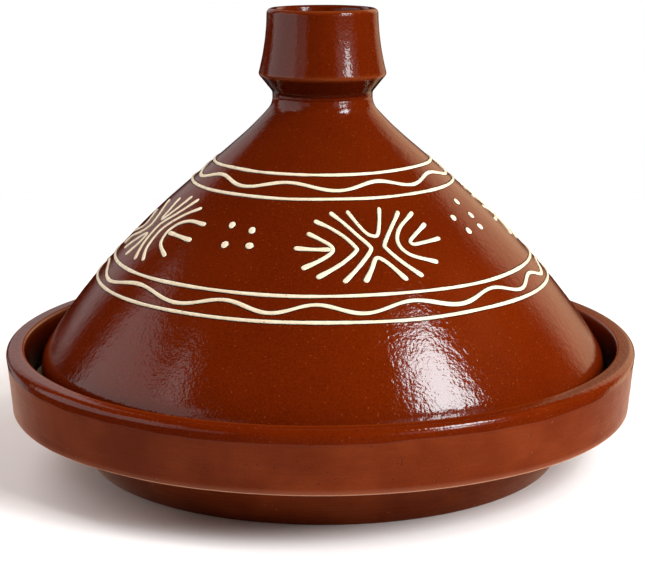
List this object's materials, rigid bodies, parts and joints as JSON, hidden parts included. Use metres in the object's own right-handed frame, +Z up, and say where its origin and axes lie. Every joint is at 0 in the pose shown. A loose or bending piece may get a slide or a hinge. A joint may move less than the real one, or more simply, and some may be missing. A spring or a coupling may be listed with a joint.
{
  "type": "tagine pot",
  "caption": "Tagine pot: shallow terracotta dish with a glazed rim and a tall conical lid with a cup-shaped knob and raised white slip lines, waves, branch motifs and dots.",
  "frame": {"origin": "on the table, at the middle of the dish's foot", "axes": "+Z up through the middle of the knob; -Y is the front, with the full branch motif a little to the right of it; +X to the right"},
  "size_m": [0.3, 0.3, 0.2116],
  "materials": {
    "dish_clay": "matte bare terracotta outside, glossy clear glaze inside and over the rim",
    "lid_glaze": "glossy red-brown glaze",
    "slip_white": "cream white trailed slip under clear glaze"
  },
  "bodies": {
    "base": {"dish": "dish_clay"},
    "lid": {"lid_cone": "lid_glaze", "lid_knob": "lid_glaze", "upper_band_wave": "slip_white", "lower_band_wave": "slip_white", "upper_band_top_line": "slip_white", "upper_band_bottom_line": "slip_white", "lower_band_top_line": "slip_white", "lower_band_bottom_line": "slip_white", "branch_motif_front": "slip_white", "branch_motif_right": "slip_white", "branch_motif_back": "slip_white", "branch_motif_left": "slip_white", "dots_front_right": "slip_white", "dots_back_right": "slip_white", "dots_back_left": "slip_white", "dots_front_left": "slip_white"}
  },
  "joints": [
    {"name": "lid_lift", "type": "slide", "parent": "base", "child": "lid", "axis": [0, 0, 1], "range_m": [0, 0.2]}
  ]
}
